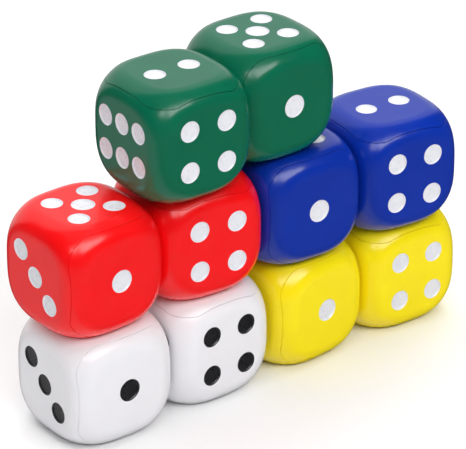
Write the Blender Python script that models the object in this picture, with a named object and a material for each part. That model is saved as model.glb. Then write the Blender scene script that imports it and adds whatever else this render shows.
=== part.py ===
"""Ten giant yard dice, stacked as a wall of four columns.

Each die is a hollow plastic moulding in two pieces: a five-sided shell, and a cap that closes the
sixth side along a fine groove in the rolled edge. A lip inside the cap centres it in the shell.

+X runs along the wall, -Y is the wall's front and +Z is up. The origin is on the ground, at the
middle of the wall's footprint. A die's own mesh has its origin at the middle of the die.
"""

import math
from collections import namedtuple

import bmesh
import bpy
from mathutils import Matrix, Vector

# Driving dimensions, in metres.
SIDE = 0.090                    # flat face to opposite flat face
EDGE_RADIUS = 0.18 * SIDE       # the rolled edges
FLAT = SIDE / 2 - EDGE_RADIUS   # from the middle of a flat to the middles of its edges
SQUARENESS = 3.35               # of a flat's outline: 2 is a circle, and a square has no limit
WALL = 0.0028
GAP = 0.0003                    # left between pieces that touch

# The groove round the cap's rolled edges. It dips a little at the corners.
GROOVE_LEVEL = 0.4175 * SIDE        # in the middle of the cap
GROOVE_TILT = math.radians(53.2)    # between the cap's axis and the way the surface faces at the groove
GROOVE_DIP = math.radians(0.8)      # how much further it tilts at the corners, and how much less between

# The lip inside the cap.
LIP_HALF_WIDTH = 0.0364
LIP_CORNER = 0.0190             # cut off the lip's upright corners
LIP_WALL = 0.0018
LIP_REACH = 0.0058              # below the groove's level, inside the shell
LIP_ROOT = 0.0032               # above the groove's level, where the lip grows out of the cap's wall

# The pips: shallow dishes in the flat faces.
PIP_RADIUS = 0.090 * SIDE
LARGE_PIP_RADIUS = 0.098 * SIDE  # a one, and the middle of a five
PIP_DEPTH = 0.0012
PIP_SLOPE_WIDTH = 0.0012         # of the sloping ring round a dish's floor
PIP_SIDES = 8
CUT_CLEARANCE = 0.0002           # how far a pip's cutter stands above the face
# Distance of the pips from the middle of the face.
TWO_OFFSET = 0.168 * SIDE
THREE_OFFSET = 0.184 * SIDE
FOUR_OFFSET = 0.182 * SIDE
FIVE_OFFSET = 0.179 * SIDE
SIX_COLUMN = 0.228 * SIDE
SIX_ROW = 0.150 * SIDE

# The wall of dice.
COLUMN_PITCH = 1.04 * SIDE
LEVEL_HEIGHT = SIDE + GAP

# How finely the shape is divided: facets round each side, and rings from a flat to its edges' middles.
OUTER_AROUND = 24
OUTER_ROWS = 2
CAVITY_AROUND = 16
CAVITY_ROWS = 1
GROOVE_STEPS = 24
FIRST_CLIMB = 0.001             # far enough from a flat to tell which way its outline lies
MERGE = 0.000001

# Each side of a die: the way it faces, then its own across and up directions.
SIDES = {
    "top": (Vector((0, 0, 1)), Vector((1, 0, 0)), Vector((0, 1, 0))),
    "bottom": (Vector((0, 0, -1)), Vector((1, 0, 0)), Vector((0, 1, 0))),
    "front": (Vector((0, -1, 0)), Vector((1, 0, 0)), Vector((0, 0, 1))),
    "back": (Vector((0, 1, 0)), Vector((1, 0, 0)), Vector((0, 0, 1))),
    "left": (Vector((-1, 0, 0)), Vector((0, 1, 0)), Vector((0, 0, 1))),
    "right": (Vector((1, 0, 0)), Vector((0, 1, 0)), Vector((0, 0, 1))),
}

# A die lies in the wall in one of two ways. Opposite sides add up to seven.
LAYOUTS = {
    "five_up": {"top": 5, "bottom": 2, "front": 1, "back": 6, "left": 3, "right": 4},
    "two_up": {"top": 2, "bottom": 5, "front": 4, "back": 3, "left": 6, "right": 1},
}
CAP_SIDE = {"five_up": "front", "two_up": "top"}

COLOURS = {
    "green": (0.003, 0.140, 0.068),
    "red": (0.830, 0.010, 0.014),
    "blue": (0.008, 0.028, 0.310),
    "yellow": (1.000, 0.780, 0.012),
    "white": (0.860, 0.860, 0.880),
}
ROUGHNESS = 0.32

# Column and level count from the wall's lower left. The shifts, along the wall and to its back,
# and the twist about the upright axis are those of dice set down by hand.
Die = namedtuple("Die", "name colour layout column level along back twist")
MM = 0.001
DICE = [
    Die("white_left", "white", "five_up", 0, 0, 0 * MM, 0 * MM, 0),
    Die("white_right", "white", "two_up", 1, 0, 0 * MM, 4 * MM, 2),
    Die("yellow_left", "yellow", "five_up", 2, 0, 1 * MM, 8 * MM, 6),
    Die("yellow_right", "yellow", "two_up", 3, 0, 3 * MM, 9 * MM, -1),
    Die("red_left", "red", "five_up", 0, 1, -5 * MM, 3 * MM, 2),
    Die("red_right", "red", "two_up", 1, 1, -5 * MM, 4 * MM, -4),
    Die("blue_left", "blue", "five_up", 2, 1, -5 * MM, 4 * MM, -2),
    Die("blue_right", "blue", "two_up", 3, 1, -4 * MM, 2 * MM, -5),
    Die("green_left", "green", "two_up", 1, 2, -24 * MM, -6 * MM, -1),
    Die("green_right", "green", "five_up", 2, 2, -26.5 * MM, 10 * MM, 0),
]


def start_empty():
    """Removes whatever the opened file holds."""
    for old in list(bpy.data.objects):
        bpy.data.objects.remove(old, do_unlink=True)


def new_collection(name):
    collection = bpy.data.collections.new(name)
    bpy.context.scene.collection.children.link(collection)
    return collection


def new_object(name, mesh, collection):
    made = bpy.data.objects.new(name, mesh)
    collection.objects.link(made)
    return made


def new_cutter(name, mesh, collection):
    cutter = new_object(name, mesh, collection)
    cutter.display_type = "WIRE"
    cutter.hide_render = True
    return cutter


def mesh_from(bm, name):
    mesh = bpy.data.meshes.new(name)
    bm.to_mesh(mesh)
    bm.free()
    return mesh


def bridge(bm, ring, next_ring):
    """A closed band of facets between two rings of corners."""
    count = len(ring)
    for i in range(count):
        j = (i + 1) % count
        bm.faces.new((ring[i], ring[j], next_ring[j], next_ring[i]))


def core_point(facing):
    """The point of the core that lies furthest that way.

    The core is a box with its corners worn down, so that its flats have the outline of a rounded square.
    The die is everything within a radius of the core.
    """
    sizes = [abs(part) for part in facing]
    dual = SQUARENESS / (SQUARENESS - 1)
    reach = 2 ** (1 / SQUARENESS) * FLAT
    spread = sum(size**dual for size in sizes) ** (1 / SQUARENESS)
    parts = [reach * size ** (dual - 1) / spread for size in sizes]
    most = max(range(3), key=lambda axis: sizes[axis])
    if parts[most] > FLAT:
        spread = sum(sizes[axis] ** dual for axis in range(3) if axis != most) ** (1 / SQUARENESS)
        parts = [FLAT * size ** (dual - 1) / spread for size in sizes]
        parts[most] = FLAT
    return Vector([math.copysign(part, towards) for part, towards in zip(parts, facing)])


def outline_facing(angle):
    """The way a flat's outline faces, across and up, where it lies at this angle round the flat's middle."""
    lean = Vector([math.copysign(abs(part) ** (SQUARENESS - 1), part)
                   for part in (math.cos(angle), math.sin(angle))])
    return lean.normalized()


def side_facing(side, angle, climb):
    """The way the surface faces on a side's rolled edge, a share `climb` of the way out to the next side."""
    facing, across, up = SIDES[side]
    lean = outline_facing(angle)
    tilt = climb * math.atan(1 / max(abs(part) for part in lean))
    return facing * math.cos(tilt) + (across * lean.x + up * lean.y) * math.sin(tilt)


def soft_cube(name, radius, around, rows):
    """A cube with rolled edges. Rings of facets climb from the outline of each flat out to its edges."""
    bm = bmesh.new()
    for side in SIDES:
        rings = []
        for row in range(rows + 1):
            ring = []
            for step in range(around):
                angle = math.tau * step / around
                outline = core_point(side_facing(side, angle, FIRST_CLIMB))
                facing = side_facing(side, angle, row / rows)
                core = core_point(facing) if row else outline
                ring.append(bm.verts.new(core + radius * facing))
            rings.append(ring)
        bm.faces.new(rings[0])
        for ring, next_ring in zip(rings, rings[1:]):
            bridge(bm, ring, next_ring)
    bmesh.ops.remove_doubles(bm, verts=bm.verts, dist=MERGE)
    bmesh.ops.recalc_face_normals(bm, faces=bm.faces)
    bmesh.ops.triangulate(bm, faces=[face for face in bm.faces if len(face.verts) == 4])
    return mesh_from(bm, name)


def groove_path():
    """Points along the groove on the outside of the die."""
    path = []
    for step in range(GROOVE_STEPS):
        angle = math.tau * step / GROOVE_STEPS
        tilt = GROOVE_TILT - GROOVE_DIP * math.cos(4 * angle)
        facing = (outline_facing(angle) * math.sin(tilt)).to_3d() + Vector((0, 0, math.cos(tilt)))
        path.append(core_point(facing) + EDGE_RADIUS * facing)
    return path


def split_block(name, shift, far):
    """A block that ends in a face through the groove, shifted up by `shift`, and reaches on to `far`."""
    bm = bmesh.new()
    rim, far_rim = [], []
    for place in groove_path():
        out = SIDE / place.xy.length
        height = GROOVE_LEVEL + (place.z - GROOVE_LEVEL) * out
        rim.append(bm.verts.new((place.x * out, place.y * out, height + shift)))
        far_rim.append(bm.verts.new((place.x * out, place.y * out, far)))
    middle = bm.verts.new((0, 0, GROOVE_LEVEL + shift))
    for i, corner in enumerate(rim):
        bm.faces.new((middle, rim[i - 1], corner))
    bridge(bm, rim, far_rim)
    bm.faces.new(far_rim)
    bmesh.ops.recalc_face_normals(bm, faces=bm.faces)
    return mesh_from(bm, name)


def block(name, half_width, corner, low, high):
    """An upright block between two heights, with its upright edges cut off by `corner` on each side."""
    bm = bmesh.new()
    bmesh.ops.create_cube(bm, size=1.0)
    size = Vector((2 * half_width, 2 * half_width, high - low))
    bmesh.ops.scale(bm, vec=size, verts=bm.verts)
    bmesh.ops.translate(bm, vec=Vector((0, 0, (low + high) / 2)), verts=bm.verts)
    if corner:
        upright = [e for e in bm.edges if abs(e.verts[0].co.z - e.verts[1].co.z) > GAP]
        bmesh.ops.bevel(bm, geom=upright, offset=corner, segments=1, affect="EDGES")
    return mesh_from(bm, name)


def cut(target, operation, tool):
    modifier = target.modifiers.new(operation.title(), "BOOLEAN")
    modifier.operation = operation
    modifier.object = tool
    modifier.solver = "EXACT"


def baked(target, name):
    """The object's mesh with its modifiers applied. The object itself is removed."""
    bpy.context.view_layer.update()
    graph = bpy.context.evaluated_depsgraph_get()
    mesh = bpy.data.meshes.new_from_object(target.evaluated_get(graph))
    mesh.name = name
    bpy.data.objects.remove(target, do_unlink=True)
    return mesh


def make_plain_pieces(cutters):
    """The shell and the cap, with the cap on +Z and no pips yet."""
    beyond = 1.2 * SIDE
    outside = soft_cube("die_outside", EDGE_RADIUS, OUTER_AROUND, OUTER_ROWS)
    inside = soft_cube("die_inside", EDGE_RADIUS - WALL, CAVITY_AROUND, CAVITY_ROWS)
    cavity = new_cutter("cavity", inside, cutters)
    above = new_cutter("above_groove", split_block("above", 0, beyond), cutters)
    below = new_cutter("below_groove", split_block("below", GAP, -beyond), cutters)

    lip_low = GROOVE_LEVEL - LIP_REACH
    lip_high = GROOVE_LEVEL + LIP_ROOT
    lip = new_object("lip", block("lip", LIP_HALF_WIDTH, LIP_CORNER, lip_low, lip_high), cutters)
    bore = block("bore", LIP_HALF_WIDTH - LIP_WALL, LIP_CORNER - LIP_WALL / 2, -beyond, beyond)
    cut(lip, "DIFFERENCE", new_cutter("lip_bore", bore, cutters))
    lip_ring = new_cutter("lip_ring", baked(lip, "lip_ring"), cutters)

    shell = new_object("shell", outside, cutters)
    cut(shell, "DIFFERENCE", cavity)
    cut(shell, "DIFFERENCE", above)
    cap = new_object("cap", outside, cutters)
    cut(cap, "DIFFERENCE", cavity)
    cut(cap, "DIFFERENCE", below)
    cut(cap, "UNION", lip_ring)
    return baked(shell, "plain_shell"), baked(cap, "plain_cap")


def pips(number):
    """The pips of one side, as (across, up, radius)."""
    two = [(-TWO_OFFSET, 0), (TWO_OFFSET, 0)]
    three = [(place * THREE_OFFSET, place * THREE_OFFSET) for place in (-1, 1)]
    four = [(across, up) for across in (-1, 1) for up in (-1, 1)]
    six = [(across * SIX_COLUMN, up * SIX_ROW) for across in (-1, 0, 1) for up in (-1, 1)]
    small = {
        1: [],
        2: two,
        3: three + [(0, 0)],
        4: [(across * FOUR_OFFSET, up * FOUR_OFFSET) for across, up in four],
        5: [(across * FIVE_OFFSET, up * FIVE_OFFSET) for across, up in four],
        6: six,
    }[number]
    large = [(0, 0)] if number in (1, 5) else []
    return ([(across, up, PIP_RADIUS) for across, up in small]
            + [(across, up, LARGE_PIP_RADIUS) for across, up in large])


def pip_cutter(layout, cutters):
    """All the dishes of a die, as cones that narrow into its sides and end at the dishes' floors."""
    bm = bmesh.new()
    height = PIP_DEPTH + CUT_CLEARANCE
    for side, number in LAYOUTS[layout].items():
        facing, across, up = SIDES[side]
        turn = facing.to_track_quat("Z", "Y").to_matrix().to_4x4()
        for shift_across, shift_up, radius in pips(number):
            level = SIDE / 2 + CUT_CLEARANCE - height / 2
            middle = facing * level + across * shift_across + up * shift_up
            floor_radius = radius - PIP_SLOPE_WIDTH
            top_radius = floor_radius + PIP_SLOPE_WIDTH * height / PIP_DEPTH
            bmesh.ops.create_cone(bm, cap_ends=True, segments=PIP_SIDES, radius1=floor_radius,
                                  radius2=top_radius, depth=height,
                                  matrix=Matrix.Translation(middle) @ turn)
    return new_cutter(f"pips_{layout}", mesh_from(bm, f"pips_{layout}"), cutters)


def with_pips(plain, layout, cutter, name, cutters):
    """A copy of a plain piece, turned so that its cap side faces the right way, with its dishes cut."""
    turned = plain.copy()
    turned.transform(SIDES[CAP_SIDE[layout]][0].to_track_quat("Z", "Y").to_matrix().to_4x4())
    piece = new_object(name, turned, cutters)
    cut(piece, "DIFFERENCE", cutter)
    mesh = baked(piece, name)
    mesh.shade_smooth()
    mesh.set_sharp_from_angle(angle=math.radians(35))
    return mesh


def plastic(colour):
    material = bpy.data.materials.new(f"{colour}_plastic")
    material.use_nodes = True
    shader = material.node_tree.nodes["Principled BSDF"]
    shader.inputs["Base Color"].default_value = (*COLOURS[colour], 1)
    shader.inputs["Roughness"].default_value = ROUGHNESS
    shader.inputs["Metallic"].default_value = 0
    return material


def die_centre(die):
    """The middle of a die, before the wall is centred on the origin."""
    return Vector((die.column * COLUMN_PITCH + die.along, die.back, (die.level + 0.5) * LEVEL_HEIGHT - GAP / 2))


def centre_on_origin(pieces):
    """Shifts the wall level, so that the middle of its footprint is the origin."""
    bpy.context.view_layer.update()
    points = [piece.matrix_world @ vert.co for piece in pieces for vert in piece.data.vertices]
    for axis in (0, 1):
        places = [point[axis] for point in points]
        middle = (min(places) + max(places)) / 2
        for piece in pieces:
            piece.location[axis] -= middle


def main():
    start_empty()
    parts = new_collection("giant_yard_dice")
    cutters = new_collection("cutters")
    plain = dict(zip(("shell", "cap"), make_plain_pieces(cutters)))
    meshes = {}
    for layout in LAYOUTS:
        cutter = pip_cutter(layout, cutters)
        for kind, mesh in plain.items():
            meshes[layout, kind] = with_pips(mesh, layout, cutter, f"{layout}_{kind}", cutters)
    materials = {colour: plastic(colour) for colour in COLOURS}
    for die in DICE:
        for kind in ("shell", "cap"):
            piece = new_object(f"{die.name}_{kind}", meshes[die.layout, kind].copy(), parts)
            piece.data.materials.clear()
            piece.data.materials.append(materials[die.colour])
            piece.location = die_centre(die)
            piece.rotation_euler = (0, 0, math.radians(die.twist))
    centre_on_origin(parts.objects)


main()
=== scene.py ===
import math
from collections import namedtuple

import bmesh
import bpy
from mathutils import Matrix, Vector


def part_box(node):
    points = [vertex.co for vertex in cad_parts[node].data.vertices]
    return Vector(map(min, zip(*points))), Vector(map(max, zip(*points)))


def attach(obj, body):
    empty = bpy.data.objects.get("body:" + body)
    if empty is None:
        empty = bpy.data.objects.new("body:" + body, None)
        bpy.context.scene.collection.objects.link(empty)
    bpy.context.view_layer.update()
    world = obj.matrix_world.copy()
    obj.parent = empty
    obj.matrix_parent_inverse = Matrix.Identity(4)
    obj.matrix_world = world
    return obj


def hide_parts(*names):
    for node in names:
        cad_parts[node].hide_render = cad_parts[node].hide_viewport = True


# The looks of ten giant yard dice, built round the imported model, in metres.
#
# Each die is a hollow plastic moulding in two pieces, a shell and a cap, that meet at a fine groove.
# Its surface is satin, with a slight orange peel. Its pips are shallow dishes with a rolled rim, painted
# white, or black on the white dice. Every piece is made once for each way that a die can lie, with the
# middle of the die as its origin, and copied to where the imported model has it.

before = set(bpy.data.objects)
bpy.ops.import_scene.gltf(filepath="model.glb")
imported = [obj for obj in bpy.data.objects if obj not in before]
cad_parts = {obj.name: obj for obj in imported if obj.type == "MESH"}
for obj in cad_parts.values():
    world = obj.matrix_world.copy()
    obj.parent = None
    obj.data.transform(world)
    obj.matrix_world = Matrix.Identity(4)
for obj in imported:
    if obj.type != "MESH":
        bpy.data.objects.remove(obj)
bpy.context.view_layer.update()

KINDS = ("shell", "cap")
MM = 0.001


def die_box(name):
    """The lowest and highest corners of a die."""
    boxes = [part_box(f"{name}_{kind}") for kind in KINDS]
    low = Vector(map(min, *(low for low, high in boxes)))
    high = Vector(map(max, *(high for low, high in boxes)))
    return low, high


# The dice. Each is twisted about the upright axis, in degrees, as it was set down.
Die = namedtuple("Die", "name colour layout twist")
DICE = [
    Die("white_left", "white", "five_up", 0),
    Die("white_right", "white", "two_up", 2),
    Die("yellow_left", "yellow", "five_up", 6),
    Die("yellow_right", "yellow", "two_up", -1),
    Die("red_left", "red", "five_up", 2),
    Die("red_right", "red", "two_up", -4),
    Die("blue_left", "blue", "five_up", -2),
    Die("blue_right", "blue", "two_up", -5),
    Die("green_left", "green", "two_up", -1),
    Die("green_right", "green", "five_up", 0),
]

SIDES = {
    "top": (Vector((0, 0, 1)), Vector((1, 0, 0)), Vector((0, 1, 0))),
    "bottom": (Vector((0, 0, -1)), Vector((1, 0, 0)), Vector((0, 1, 0))),
    "front": (Vector((0, -1, 0)), Vector((1, 0, 0)), Vector((0, 0, 1))),
    "back": (Vector((0, 1, 0)), Vector((1, 0, 0)), Vector((0, 0, 1))),
    "left": (Vector((-1, 0, 0)), Vector((0, 1, 0)), Vector((0, 0, 1))),
    "right": (Vector((1, 0, 0)), Vector((0, 1, 0)), Vector((0, 0, 1))),
}
LAYOUTS = {
    "five_up": {"top": 5, "bottom": 2, "front": 1, "back": 6, "left": 3, "right": 4},
    "two_up": {"top": 2, "bottom": 5, "front": 4, "back": 3, "left": 6, "right": 1},
}
CAP_SIDE = {"five_up": "front", "two_up": "top"}

# The moulding, worked out from the side of a die.
first_low, first_high = die_box(DICE[0].name)
SIDE = first_high.z - first_low.z
WALL = 2.8 * MM
EDGE_RADIUS = 0.18 * SIDE
FLAT = SIDE / 2 - EDGE_RADIUS      # from the middle of a flat to the middles of its edges
SQUARENESS = 3.35                  # of a flat's outline: 2 is a circle, and a square has no limit
AROUND = 128                       # facets round a side
ROLL_ROWS = 10                     # rings of facets from a flat out to the middle of its edges
INSIDE_AROUND = 32
INSIDE_ROWS = 3
MERGE = 0.001 * MM
FIRST_CLIMB = 0.001                # far enough from a flat to tell which way its outline lies
SHARP = math.radians(40)           # edges bent by more than this stay crisp

# The groove. It runs round the cap's rolled edges, and dips a little at the corners.
GROOVE_LEVEL = 0.4175 * SIDE       # in the middle of the cap
GROOVE_TILT = math.radians(53.2)   # between the cap's axis and the way the surface faces at the groove
GROOVE_DIP = math.radians(0.8)     # how much further it tilts at the corners, and how much less between
GROOVE_WAVES = ((3, 0.8, 0.0070), (7, 2.1, 0.0060), (11, 4.0, 0.0035))   # count, phase, tilt
GROOVE_STEPS = 192
SLOT = 0.36 * MM                   # between the shell and the cap
COVE_FLOOR = 0.44 * MM             # width of the groove between its rolled edges
COVE_RADIUS = 0.34 * MM            # of its rolled edges
COVE_ANGLES = (12, 32, 55, 80)     # how steep they get, in degrees
COVE_RISE = 0.06 * MM              # how far the cutter stands above the surface

# The lip inside the cap.
LIP_HALF_WIDTH = 0.404 * SIDE
LIP_CORNER = 0.340 * SIDE          # radius of its upright corners
LIP_STEPS = 6                      # facets round each of them
LIP_WALL = 1.8 * MM
LIP_REACH = 5.0 * MM               # below the groove's level, inside the shell
LIP_ROOT = 3.5 * MM                # above the groove's level
FAR = 1.2 * SIDE                   # beyond every part of a die

# The pips, and how far they lie from the middle of their side.
PIP_RADIUS = 0.090 * SIDE
LARGE_PIP_RADIUS = 0.098 * SIDE    # a one, and the middle of a five
TWO_OFFSET = 0.168 * SIDE
THREE_OFFSET = 0.184 * SIDE
FOUR_OFFSET = 0.182 * SIDE
FIVE_OFFSET = 0.179 * SIDE
SIX_COLUMN = 0.228 * SIDE
SIX_ROW = 0.150 * SIDE
RIM_RADIUS = 0.45 * MM
RIM_ANGLES = (10, 22, 35, 48)      # how steep the rim gets, in degrees
RIM_RISE = 0.05 * MM               # how far the cutter stands above the face
DISH_DEPTH = 1.4 * MM
DISH_HOLLOW = 0.25 * MM            # how much deeper the middle of the dish is
DISH_FILLET = 0.6 * MM             # between its wall and its floor
FILLET_SHARES = (0.0, 0.33, 0.67, 1.0)
HOLLOW_SHARES = (0.75, 0.5, 0.25, 0.0)
PIP_STEPS = 64

# A die's material slots, and what holds them until each die has its own materials.
PLASTIC, PAINT = 0, 1
stand_ins = [bpy.data.materials.new("plastic_slot"), bpy.data.materials.new("paint_slot")]


def new_object(name, mesh):
    made = bpy.data.objects.new(name, mesh)
    bpy.context.scene.collection.objects.link(made)
    return made


def mesh_from(bm, name):
    mesh = bpy.data.meshes.new(name)
    bm.to_mesh(mesh)
    bm.free()
    return mesh


def bridge(bm, ring, next_ring):
    """A closed band of facets between two rings of corners."""
    count = len(ring)
    for i in range(count):
        j = (i + 1) % count
        bm.faces.new((ring[i], ring[j], next_ring[j], next_ring[i]))


def core_point(facing):
    """The point of the core that lies furthest that way.

    The core is a box with its corners worn down, so that its flats have the outline of a rounded square.
    """
    sizes = [abs(part) for part in facing]
    dual = SQUARENESS / (SQUARENESS - 1)
    reach = 2 ** (1 / SQUARENESS) * FLAT
    spread = sum(size**dual for size in sizes) ** (1 / SQUARENESS)
    parts = [reach * size ** (dual - 1) / spread for size in sizes]
    most = max(range(3), key=lambda axis: sizes[axis])
    if parts[most] > FLAT:
        spread = sum(sizes[axis] ** dual for axis in range(3) if axis != most) ** (1 / SQUARENESS)
        parts = [FLAT * size ** (dual - 1) / spread for size in sizes]
        parts[most] = FLAT
    return Vector([math.copysign(part, towards) for part, towards in zip(parts, facing)])


def outline_facing(angle):
    """The way a flat's outline faces, across and up, where it lies at this angle round the flat's middle."""
    lean = Vector([math.copysign(abs(part) ** (SQUARENESS - 1), part)
                   for part in (math.cos(angle), math.sin(angle))])
    return lean.normalized()


def side_facing(side, angle, climb):
    """The way the surface faces on a side's rolled edge, a share `climb` of the way out to the next side."""
    facing, across, up = SIDES[side]
    lean = outline_facing(angle)
    tilt = climb * math.atan(1 / max(abs(part) for part in lean))
    return facing * math.cos(tilt) + (across * lean.x + up * lean.y) * math.sin(tilt)


def soft_cube(name, radius, around, rows):
    """A cube with rolled edges. Rings of facets climb from the outline of each flat out to its edges."""
    bm = bmesh.new()
    for side in SIDES:
        rings = []
        for row in range(rows + 1):
            ring = []
            for step in range(around):
                angle = math.tau * step / around
                outline = core_point(side_facing(side, angle, FIRST_CLIMB))
                facing = side_facing(side, angle, row / rows)
                core = core_point(facing) if row else outline
                ring.append(bm.verts.new(core + radius * facing))
            rings.append(ring)
        bm.faces.new(rings[0])
        for ring, next_ring in zip(rings, rings[1:]):
            bridge(bm, ring, next_ring)
    bmesh.ops.remove_doubles(bm, verts=bm.verts, dist=MERGE)
    bmesh.ops.recalc_face_normals(bm, faces=bm.faces)
    bmesh.ops.triangulate(bm, faces=[face for face in bm.faces if len(face.verts) == 4])
    return mesh_from(bm, name)


def groove_path():
    """Points along the groove on the outside of the die, each with the way the surface faces there."""
    path = []
    for step in range(GROOVE_STEPS):
        angle = math.tau * step / GROOVE_STEPS
        tilt = GROOVE_TILT - GROOVE_DIP * math.cos(4 * angle)
        tilt += sum(height * math.sin(count * angle + phase) for count, phase, height in GROOVE_WAVES)
        facing = (outline_facing(angle) * math.sin(tilt)).to_3d() + Vector((0, 0, math.cos(tilt)))
        path.append((core_point(facing) + EDGE_RADIUS * facing, facing))
    return path


def split_block(name, shift, far):
    """A block that ends in a face through the groove, shifted up by `shift`, and reaches on to `far`."""
    bm = bmesh.new()
    rim, far_rim = [], []
    for place, facing in groove_path():
        out = SIDE / place.xy.length
        height = GROOVE_LEVEL + (place.z - GROOVE_LEVEL) * out
        rim.append(bm.verts.new((place.x * out, place.y * out, height + shift)))
        far_rim.append(bm.verts.new((place.x * out, place.y * out, far)))
    middle = bm.verts.new((0, 0, GROOVE_LEVEL + shift))
    for i, corner in enumerate(rim):
        bm.faces.new((middle, rim[i - 1], corner))
    bridge(bm, rim, far_rim)
    bm.faces.new(far_rim)
    bmesh.ops.recalc_face_normals(bm, faces=bm.faces)
    return mesh_from(bm, name)


def cove_cutter(name):
    """A ring that rolls both edges of the groove."""
    half = []
    for degrees in COVE_ANGLES:
        angle = math.radians(degrees)
        half.append((COVE_FLOOR / 2 + COVE_RADIUS * (1 - math.sin(angle)),
                     COVE_RADIUS * (math.cos(angle) - 1)))
    first_out, first_up = half[0]
    top = (first_out + (COVE_RISE - first_up) / math.tan(math.radians(COVE_ANGLES[0])), COVE_RISE)
    half = [top] + half + [(COVE_FLOOR / 2, -COVE_RADIUS)]
    outline = half + [(-out, up) for out, up in reversed(half)]
    path = groove_path()
    bm = bmesh.new()
    rings = []
    for i, (place, facing) in enumerate(path):
        along = (path[(i + 1) % len(path)][0] - path[i - 1][0]).normalized()
        beside = along.cross(facing).normalized()
        rings.append([bm.verts.new(place + beside * out + facing * up) for out, up in outline])
    for i, ring in enumerate(rings):
        bridge(bm, ring, rings[(i + 1) % len(rings)])
    bmesh.ops.recalc_face_normals(bm, faces=bm.faces)
    bmesh.ops.triangulate(bm, faces=bm.faces)
    return mesh_from(bm, name)


def block(name, half_width, corner, low, high):
    """An upright block between two heights, with its upright edges rounded by `corner`."""
    bm = bmesh.new()
    bmesh.ops.create_cube(bm, size=1.0)
    bmesh.ops.scale(bm, vec=Vector((2 * half_width, 2 * half_width, high - low)), verts=bm.verts)
    bmesh.ops.translate(bm, vec=Vector((0, 0, (low + high) / 2)), verts=bm.verts)
    upright = [e for e in bm.edges if abs(e.verts[0].co.z - e.verts[1].co.z) > MERGE]
    bmesh.ops.bevel(bm, geom=upright, offset=corner, segments=LIP_STEPS, profile=0.5, affect="EDGES")
    return mesh_from(bm, name)


def cut(target, operation, mesh):
    """Gives the object a boolean with this mesh, and returns the tool that carries it."""
    tool = new_object(mesh.name, mesh)
    modifier = target.modifiers.new(operation.title(), "BOOLEAN")
    modifier.operation = operation
    modifier.object = tool
    modifier.solver = "EXACT"
    return tool


def baked(target, tools, name):
    """The object's mesh with its modifiers applied. The object and its tools are removed."""
    bpy.context.view_layer.update()
    graph = bpy.context.evaluated_depsgraph_get()
    mesh = bpy.data.meshes.new_from_object(target.evaluated_get(graph))
    mesh.name = name
    for used in [target, *tools]:
        bpy.data.objects.remove(used, do_unlink=True)
    return mesh


def make_plain_pieces():
    """The shell and the cap, with the cap on +Z and no pips yet."""
    outside = soft_cube("outside", EDGE_RADIUS, AROUND, ROLL_ROWS)
    inside = soft_cube("inside", EDGE_RADIUS - WALL, INSIDE_AROUND, INSIDE_ROWS)
    cove = cove_cutter("cove")
    above = split_block("above", -SLOT / 2, FAR)
    below = split_block("below", SLOT / 2, -FAR)

    lip_low, lip_high = GROOVE_LEVEL - LIP_REACH, GROOVE_LEVEL + LIP_ROOT
    lip = new_object("lip", block("lip", LIP_HALF_WIDTH, LIP_CORNER, lip_low, lip_high))
    bore = block("bore", LIP_HALF_WIDTH - LIP_WALL, LIP_CORNER - LIP_WALL / 2, -SIDE, SIDE)
    lip_mesh = baked(lip, [cut(lip, "DIFFERENCE", bore)], "lip_ring")

    hollow = new_object("hollow", outside)
    tools = [cut(hollow, "DIFFERENCE", cove), cut(hollow, "DIFFERENCE", inside)]
    hollow_mesh = baked(hollow, tools, "hollow")
    shell = new_object("shell", hollow_mesh)
    shell_mesh = baked(shell, [cut(shell, "DIFFERENCE", above)], "plain_shell")
    cap = new_object("cap", hollow_mesh)
    cap_mesh = baked(cap, [cut(cap, "DIFFERENCE", below), cut(cap, "UNION", lip_mesh)], "plain_cap")
    return {"shell": shell_mesh, "cap": cap_mesh}


def pips(number):
    """The pips of one side, as (across, up, radius)."""
    two = [(-TWO_OFFSET, 0), (TWO_OFFSET, 0)]
    three = [(place * THREE_OFFSET, place * THREE_OFFSET) for place in (-1, 1)]
    four = [(across, up) for across in (-1, 1) for up in (-1, 1)]
    six = [(across * SIX_COLUMN, up * SIX_ROW) for across in (-1, 0, 1) for up in (-1, 1)]
    small = {
        1: [],
        2: two,
        3: three + [(0, 0)],
        4: [(across * FOUR_OFFSET, up * FOUR_OFFSET) for across, up in four],
        5: [(across * FIVE_OFFSET, up * FIVE_OFFSET) for across, up in four],
        6: six,
    }[number]
    large = [(0, 0)] if number in (1, 5) else []
    return ([(across, up, PIP_RADIUS) for across, up in small]
            + [(across, up, LARGE_PIP_RADIUS) for across, up in large])


def dish_outline(radius):
    """Half of a dish's section, from above its rolled rim down to the middle of its floor."""
    rim = []
    for degrees in RIM_ANGLES:
        angle = math.radians(degrees)
        rim.append((radius + RIM_RADIUS * (1 - math.sin(angle)), RIM_RADIUS * (math.cos(angle) - 1)))
    first_out, first_up = rim[0]
    start = (first_out + (RIM_RISE - first_up) / math.tan(math.radians(RIM_ANGLES[0])), RIM_RISE)
    last_out, last_up = rim[-1]
    slope = math.radians(RIM_ANGLES[-1])
    # The wall runs on at the rim's last slope, then a fillet turns it into the floor.
    floor = -DISH_DEPTH
    turn = DISH_FILLET * math.tan(slope / 2)
    meet = last_out - (last_up - floor) / math.tan(slope)
    floor_edge = meet - turn
    fillet = []
    for share in FILLET_SHARES:
        angle = slope * (1 - share)
        fillet.append((floor_edge + DISH_FILLET * math.sin(angle),
                       floor + DISH_FILLET * (1 - math.cos(angle))))
    hollow = [(floor_edge * share, floor - DISH_HOLLOW * (1 - share**2)) for share in HOLLOW_SHARES]
    return [(0.0, RIM_RISE), start] + rim + fillet + hollow


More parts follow.
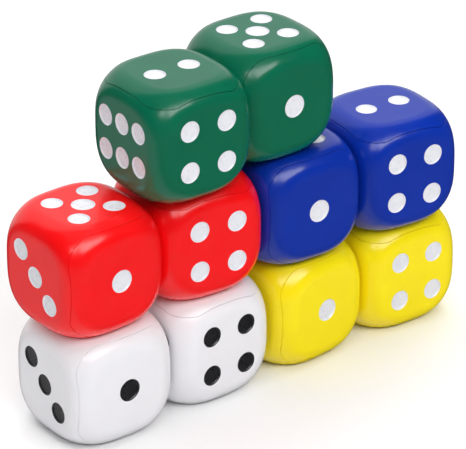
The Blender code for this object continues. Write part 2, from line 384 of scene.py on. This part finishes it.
def dish(radius):
    """A cutter for one dish, turned about +Z with the die's face at height zero."""
    bm = bmesh.new()
    corners = [bm.verts.new((out, 0, up)) for out, up in dish_outline(radius)]
    edges = [bm.edges.new(pair) for pair in zip(corners, corners[1:])]
    bmesh.ops.spin(bm, geom=corners + edges, cent=(0, 0, 0), axis=(0, 0, 1), angle=math.tau,
                   steps=PIP_STEPS, use_merge=True)
    bmesh.ops.remove_doubles(bm, verts=bm.verts, dist=MERGE)
    bmesh.ops.recalc_face_normals(bm, faces=bm.faces)
    for face in bm.faces:
        middle = face.calc_center_median()
        face.material_index = PAINT if math.hypot(middle.x, middle.y) < radius else PLASTIC
    return mesh_from(bm, "dish")


def pip_cutter(layout):
    """All the dishes of a die."""
    dishes = {radius: dish(radius) for radius in (PIP_RADIUS, LARGE_PIP_RADIUS)}
    bm = bmesh.new()
    for side, number in LAYOUTS[layout].items():
        facing, across, up = SIDES[side]
        turn = facing.to_track_quat("Z", "Y").to_matrix().to_4x4()
        for shift_across, shift_up, radius in pips(number):
            middle = facing * SIDE / 2 + across * shift_across + up * shift_up
            placed = dishes[radius].copy()
            placed.transform(Matrix.Translation(middle) @ turn)
            bm.from_mesh(placed)
            bpy.data.meshes.remove(placed)
    mesh = mesh_from(bm, f"pips_{layout}")
    add_slots(mesh)
    return mesh


def add_slots(mesh):
    """Gives a mesh the two material slots of a die."""
    for stand_in in stand_ins:
        mesh.materials.append(stand_in)


def with_pips(plain, layout, name):
    """A copy of a plain piece, turned so that its cap side faces the right way, with its dishes cut."""
    turned = plain.copy()
    turned.transform(SIDES[CAP_SIDE[layout]][0].to_track_quat("Z", "Y").to_matrix().to_4x4())
    add_slots(turned)
    piece = new_object(name, turned)
    mesh = baked(piece, [cut(piece, "DIFFERENCE", pip_cutter(layout))], name)
    mesh.shade_smooth()
    mesh.set_sharp_from_angle(angle=SHARP)
    return mesh


# The colour sockets of a Mix node, which share their names with others.
MIX_FIRST, MIX_SECOND, MIX_RESULT = 6, 7, 2


class Nodes:
    """A short way to build a material's nodes."""

    def __init__(self, name):
        self.material = bpy.data.materials.new(name)
        self.material.use_nodes = True
        self.tree = self.material.node_tree
        self.shader = self.tree.nodes["Principled BSDF"]

    def add(self, kind, inputs=(), **settings):
        """A new node, with these inputs linked or set."""
        node = self.tree.nodes.new(kind)
        for key, value in settings.items():
            setattr(node, key, value)
        for key, value in dict(inputs).items():
            self.put(value, node.inputs[key])
        return node

    def put(self, value, socket):
        """Links another node's output to the socket, or sets the socket's own value."""
        if isinstance(value, bpy.types.NodeSocket):
            self.tree.links.new(value, socket)
        else:
            socket.default_value = value

    def noise(self, place, scale, detail):
        made = self.add("ShaderNodeTexNoise", {"Vector": place, "Scale": scale, "Detail": detail})
        return made.outputs["Fac"]

    def spread(self, value, old, new):
        """Stretches the old range of a value over the new one."""
        made = self.add("ShaderNodeMapRange", {"Value": value, "From Min": old[0], "From Max": old[1],
                                               "To Min": new[0], "To Max": new[1]})
        return made.outputs["Result"]

    def mix(self, share, first, second):
        made = self.add("ShaderNodeMix", data_type="RGBA")
        self.put(share, made.inputs["Factor"])
        self.put(first, made.inputs[MIX_FIRST])
        self.put(second, made.inputs[MIX_SECOND])
        return made.outputs[MIX_RESULT]

    def bump(self, height, distance, under=None):
        made = self.add("ShaderNodeBump", {"Height": height, "Distance": distance})
        if under:
            self.put(under, made.inputs["Normal"])
        return made.outputs["Normal"]

    def place(self, shift):
        """Places on the piece itself, shifted so that no two pieces have the same pattern."""
        local = self.add("ShaderNodeTexCoord").outputs["Object"]
        moved = self.add("ShaderNodeVectorMath", {0: local, 1: shift}, operation="ADD")
        return moved.outputs["Vector"]


# Each colour, then the same where it is clouded.
COLOURS = {
    "green": ((0.001, 0.140, 0.070), (0.001, 0.128, 0.064)),
    "red": ((0.950, 0.005, 0.007), (0.900, 0.004, 0.006)),
    "blue": ((0.002, 0.030, 0.370), (0.002, 0.027, 0.340)),
    "yellow": ((1.000, 0.820, 0.006), (0.980, 0.780, 0.005)),
    "white": ((0.875, 0.870, 0.900), (0.855, 0.850, 0.880)),
}
PAINTS = {
    "white": ((0.800, 0.805, 0.850), (0.760, 0.768, 0.820)),
    "black": ((0.012, 0.012, 0.014), (0.022, 0.022, 0.025)),
}
NOISE = (0.25, 0.75)               # where nearly all the values of a noise lie
SHARE = (0.0, 1.0)

# Each pattern's scale, per metre, and its detail.
PLASTIC_CLOUDS = (38.0, 1.0)
PLASTIC_GLOSS = (85.0, 2.0)
SINKS = (42.0, 1.0)
PEEL = (500.0, 0.0)
PAINT_CLOUDS = (160.0, 1.0)
PAINT_GLOSS = (240.0, 1.0)
BRUSHING = (300.0, 1.0)

PLASTIC_ROUGHNESS = (0.19, 0.25)
PAINT_ROUGHNESS = (0.25, 0.34)
PAINT_GLOSS_NOISE = (0.3, 0.7)
SINK_DEPTH = 0.35 * MM
PEEL_DEPTH = 0.01 * MM
BRUSHING_DEPTH = 0.04 * MM
PLASTIC_IOR = 1.5
PATTERN_SHIFT = Vector((0.37, 0.11, 0.23))    # from one die's patterns to the next's


def opaque(colour):
    return (*colour, 1.0)


def plastic(name, colour, shift):
    """Satin moulded plastic: slightly clouded and uneven in gloss, with faint sinks and orange peel."""
    nodes = Nodes(name)
    place = nodes.place(shift)
    main, clouded = COLOURS[colour]
    cloud = nodes.spread(nodes.noise(place, *PLASTIC_CLOUDS), NOISE, SHARE)
    nodes.put(nodes.mix(cloud, opaque(main), opaque(clouded)), nodes.shader.inputs["Base Color"])
    gloss = nodes.spread(nodes.noise(place, *PLASTIC_GLOSS), NOISE, PLASTIC_ROUGHNESS)
    nodes.put(gloss, nodes.shader.inputs["Roughness"])
    sink = nodes.bump(nodes.noise(place, *SINKS), SINK_DEPTH)
    peel = nodes.bump(nodes.noise(place, *PEEL), PEEL_DEPTH, under=sink)
    nodes.put(peel, nodes.shader.inputs["Normal"])
    nodes.shader.inputs["IOR"].default_value = PLASTIC_IOR
    return nodes.material


def paint(name, colour, shift):
    """Pip paint, a little duller than the plastic and brushed unevenly into the dish."""
    nodes = Nodes(name)
    place = nodes.place(shift)
    main, thin = PAINTS[colour]
    cloud = nodes.spread(nodes.noise(place, *PAINT_CLOUDS), NOISE, SHARE)
    nodes.put(nodes.mix(cloud, opaque(main), opaque(thin)), nodes.shader.inputs["Base Color"])
    gloss = nodes.spread(nodes.noise(place, *PAINT_GLOSS), PAINT_GLOSS_NOISE, PAINT_ROUGHNESS)
    nodes.put(gloss, nodes.shader.inputs["Roughness"])
    nodes.put(nodes.bump(nodes.noise(place, *BRUSHING), BRUSHING_DEPTH), nodes.shader.inputs["Normal"])
    return nodes.material


def make_dice():
    """Every piece of every die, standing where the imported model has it."""
    plain = make_plain_pieces()
    meshes = {(layout, kind): with_pips(plain[kind], layout, f"{layout}_{kind}")
              for layout in LAYOUTS for kind in KINDS}
    for number, die in enumerate(DICE):
        low, high = die_box(die.name)
        shift = PATTERN_SHIFT * number
        body = plastic(f"{die.name}_plastic", die.colour, shift)
        dots = paint(f"{die.name}_paint", "black" if die.colour == "white" else "white", shift)
        for kind in KINDS:
            node = f"{die.name}_{kind}"
            piece = new_object(f"{node}_moulding", meshes[die.layout, kind].copy())
            piece.data.materials[PLASTIC] = body
            piece.data.materials[PAINT] = dots
            piece.location = (low + high) / 2
            piece.rotation_euler = (0, 0, math.radians(die.twist))
            weighted = piece.modifiers.new("Weighted normals", "WEIGHTED_NORMAL")
            weighted.keep_sharp = True
            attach(piece, f"{die.name}_die")
            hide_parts(node)


# The studio, laid out round the way the camera looks. Every place in it is given by an azimuth, clockwise
# from straight ahead of the camera as seen from above, and an elevation, both in degrees.
VIEW_TARGET = Vector((-0.0074, 0.0, 0.1217))
VIEW_AZIMUTH = math.radians(37.59)
VIEW_ELEVATION = math.radians(27.0)
VIEW_DISTANCE = 30 * SIDE
SENSOR = 36.0                      # the camera's, in millimetres like its lens
LENS = 276.6
CLIP_END = 100.0

FLOOR_HALF = 12.0
FLOOR_LEVEL = -0.2 * MM
FLOOR_SQUARES = 8                  # along each side
FLOOR_WHITES = ((0.93, 0.93, 0.93), (0.95, 0.95, 0.95))
FLOOR_CLOUDS = (3.0, 3.0)
FLOOR_ROUGHNESS = 0.6
FLOOR_SPECULAR = 0.1

# The soft boxes: width and height in metres, and radiance.
Lamp = namedtuple("Lamp", "name azimuth elevation width height level")
KEY = Lamp("key", 147, 44, 5.6, 2.1, 5.9)
FILL = Lamp("fill", -20, 80, 8.0, 8.0, 1.85)
LIGHT_DISTANCE = 6.0

# The lit parts of the room: half the width of each patch, the width of its edge, and radiance.
Patch = namedtuple("Patch", "azimuth elevation half edge level")
PATCHES = [
    Patch(-17, 25, 46, 14, 0.80),      # the lit wall behind the dice
    Patch(-105, -52, 44, 18, 0.52),    # the pale table to the left of them
    Patch(0, -90, 26, 14, 0.40),       # and under them
    Patch(-166, 38, 8, 6, 5.0),        # a small lamp at the front left
]
DIM = 0.04                         # how bright the rest of the room is


def towards(azimuth, elevation):
    """The direction from the dice to a place in the studio."""
    across = VIEW_AZIMUTH + math.radians(azimuth)
    up = math.radians(elevation)
    return Vector((math.sin(across) * math.cos(up), math.cos(across) * math.cos(up), math.sin(up)))


def add_floor():
    """A pale matt floor. The dice's gloss shows the room's patches instead of it."""
    bm = bmesh.new()
    bmesh.ops.create_grid(bm, x_segments=FLOOR_SQUARES, y_segments=FLOOR_SQUARES, size=FLOOR_HALF)
    floor = new_object("floor", mesh_from(bm, "floor"))
    nodes = Nodes("floor")
    place = nodes.place((0, 0, 0))
    whites = [opaque(white) for white in FLOOR_WHITES]
    nodes.put(nodes.mix(nodes.noise(place, *FLOOR_CLOUDS), *whites), nodes.shader.inputs["Base Color"])
    nodes.shader.inputs["Roughness"].default_value = FLOOR_ROUGHNESS
    nodes.shader.inputs["Specular IOR Level"].default_value = FLOOR_SPECULAR
    floor.data.materials.append(nodes.material)
    floor.location.z = FLOOR_LEVEL
    floor.visible_glossy = False


def add_camera():
    camera = bpy.data.objects.new("camera", bpy.data.cameras.new("camera"))
    bpy.context.scene.collection.objects.link(camera)
    ahead = towards(0, -math.degrees(VIEW_ELEVATION))
    camera.location = VIEW_TARGET - ahead * VIEW_DISTANCE
    camera.rotation_euler = ahead.to_track_quat("-Z", "Y").to_euler()
    camera.data.sensor_width = SENSOR
    camera.data.lens = LENS
    camera.data.clip_end = CLIP_END
    bpy.context.scene.camera = camera


def add_lamp(lamp):
    """A soft box aimed at the dice."""
    light = bpy.data.lights.new(lamp.name, "AREA")
    light.shape = "RECTANGLE"
    light.size, light.size_y = lamp.width, lamp.height
    light.energy = lamp.level * math.pi * lamp.width * lamp.height
    made = bpy.data.objects.new(lamp.name, light)
    bpy.context.scene.collection.objects.link(made)
    way = towards(lamp.azimuth, lamp.elevation)
    made.location = VIEW_TARGET + way * LIGHT_DISTANCE
    made.rotation_euler = way.to_track_quat("Z", "Y").to_euler()
    return made


def add_room():
    """Patches of light in a dim room. Where two overlap, the brighter one counts."""
    world = bpy.data.worlds.new("room")
    world.use_nodes = True
    bpy.context.scene.world = world
    tree = world.node_tree
    background = tree.nodes["Background"]
    way = tree.nodes.new("ShaderNodeTexCoord").outputs["Generated"]
    brightest = None
    for patch in PATCHES:
        along = tree.nodes.new("ShaderNodeVectorMath")
        along.operation = "DOT_PRODUCT"
        tree.links.new(way, along.inputs[0])
        along.inputs[1].default_value = towards(patch.azimuth, patch.elevation)
        edge = tree.nodes.new("ShaderNodeMapRange")
        edge.interpolation_type = "SMOOTHSTEP"
        tree.links.new(along.outputs["Value"], edge.inputs["Value"])
        edge.inputs["From Min"].default_value = math.cos(math.radians(patch.half + patch.edge / 2))
        edge.inputs["From Max"].default_value = math.cos(math.radians(patch.half - patch.edge / 2))
        edge.inputs["To Max"].default_value = patch.level
        brighter = tree.nodes.new("ShaderNodeMath")
        brighter.operation = "MAXIMUM"
        tree.links.new(edge.outputs["Result"], brighter.inputs[0])
        if brightest is None:
            brighter.inputs[1].default_value = DIM
        else:
            tree.links.new(brightest, brighter.inputs[1])
        brightest = brighter.outputs["Value"]
    tree.links.new(brightest, background.inputs["Strength"])
    background.inputs["Color"].default_value = opaque((1, 1, 1))


def add_studio():
    add_floor()
    add_camera()
    add_room()
    add_lamp(KEY)
    add_lamp(FILL).visible_glossy = False
    bpy.context.scene.view_settings.view_transform = "Standard"


make_dice()
add_studio()
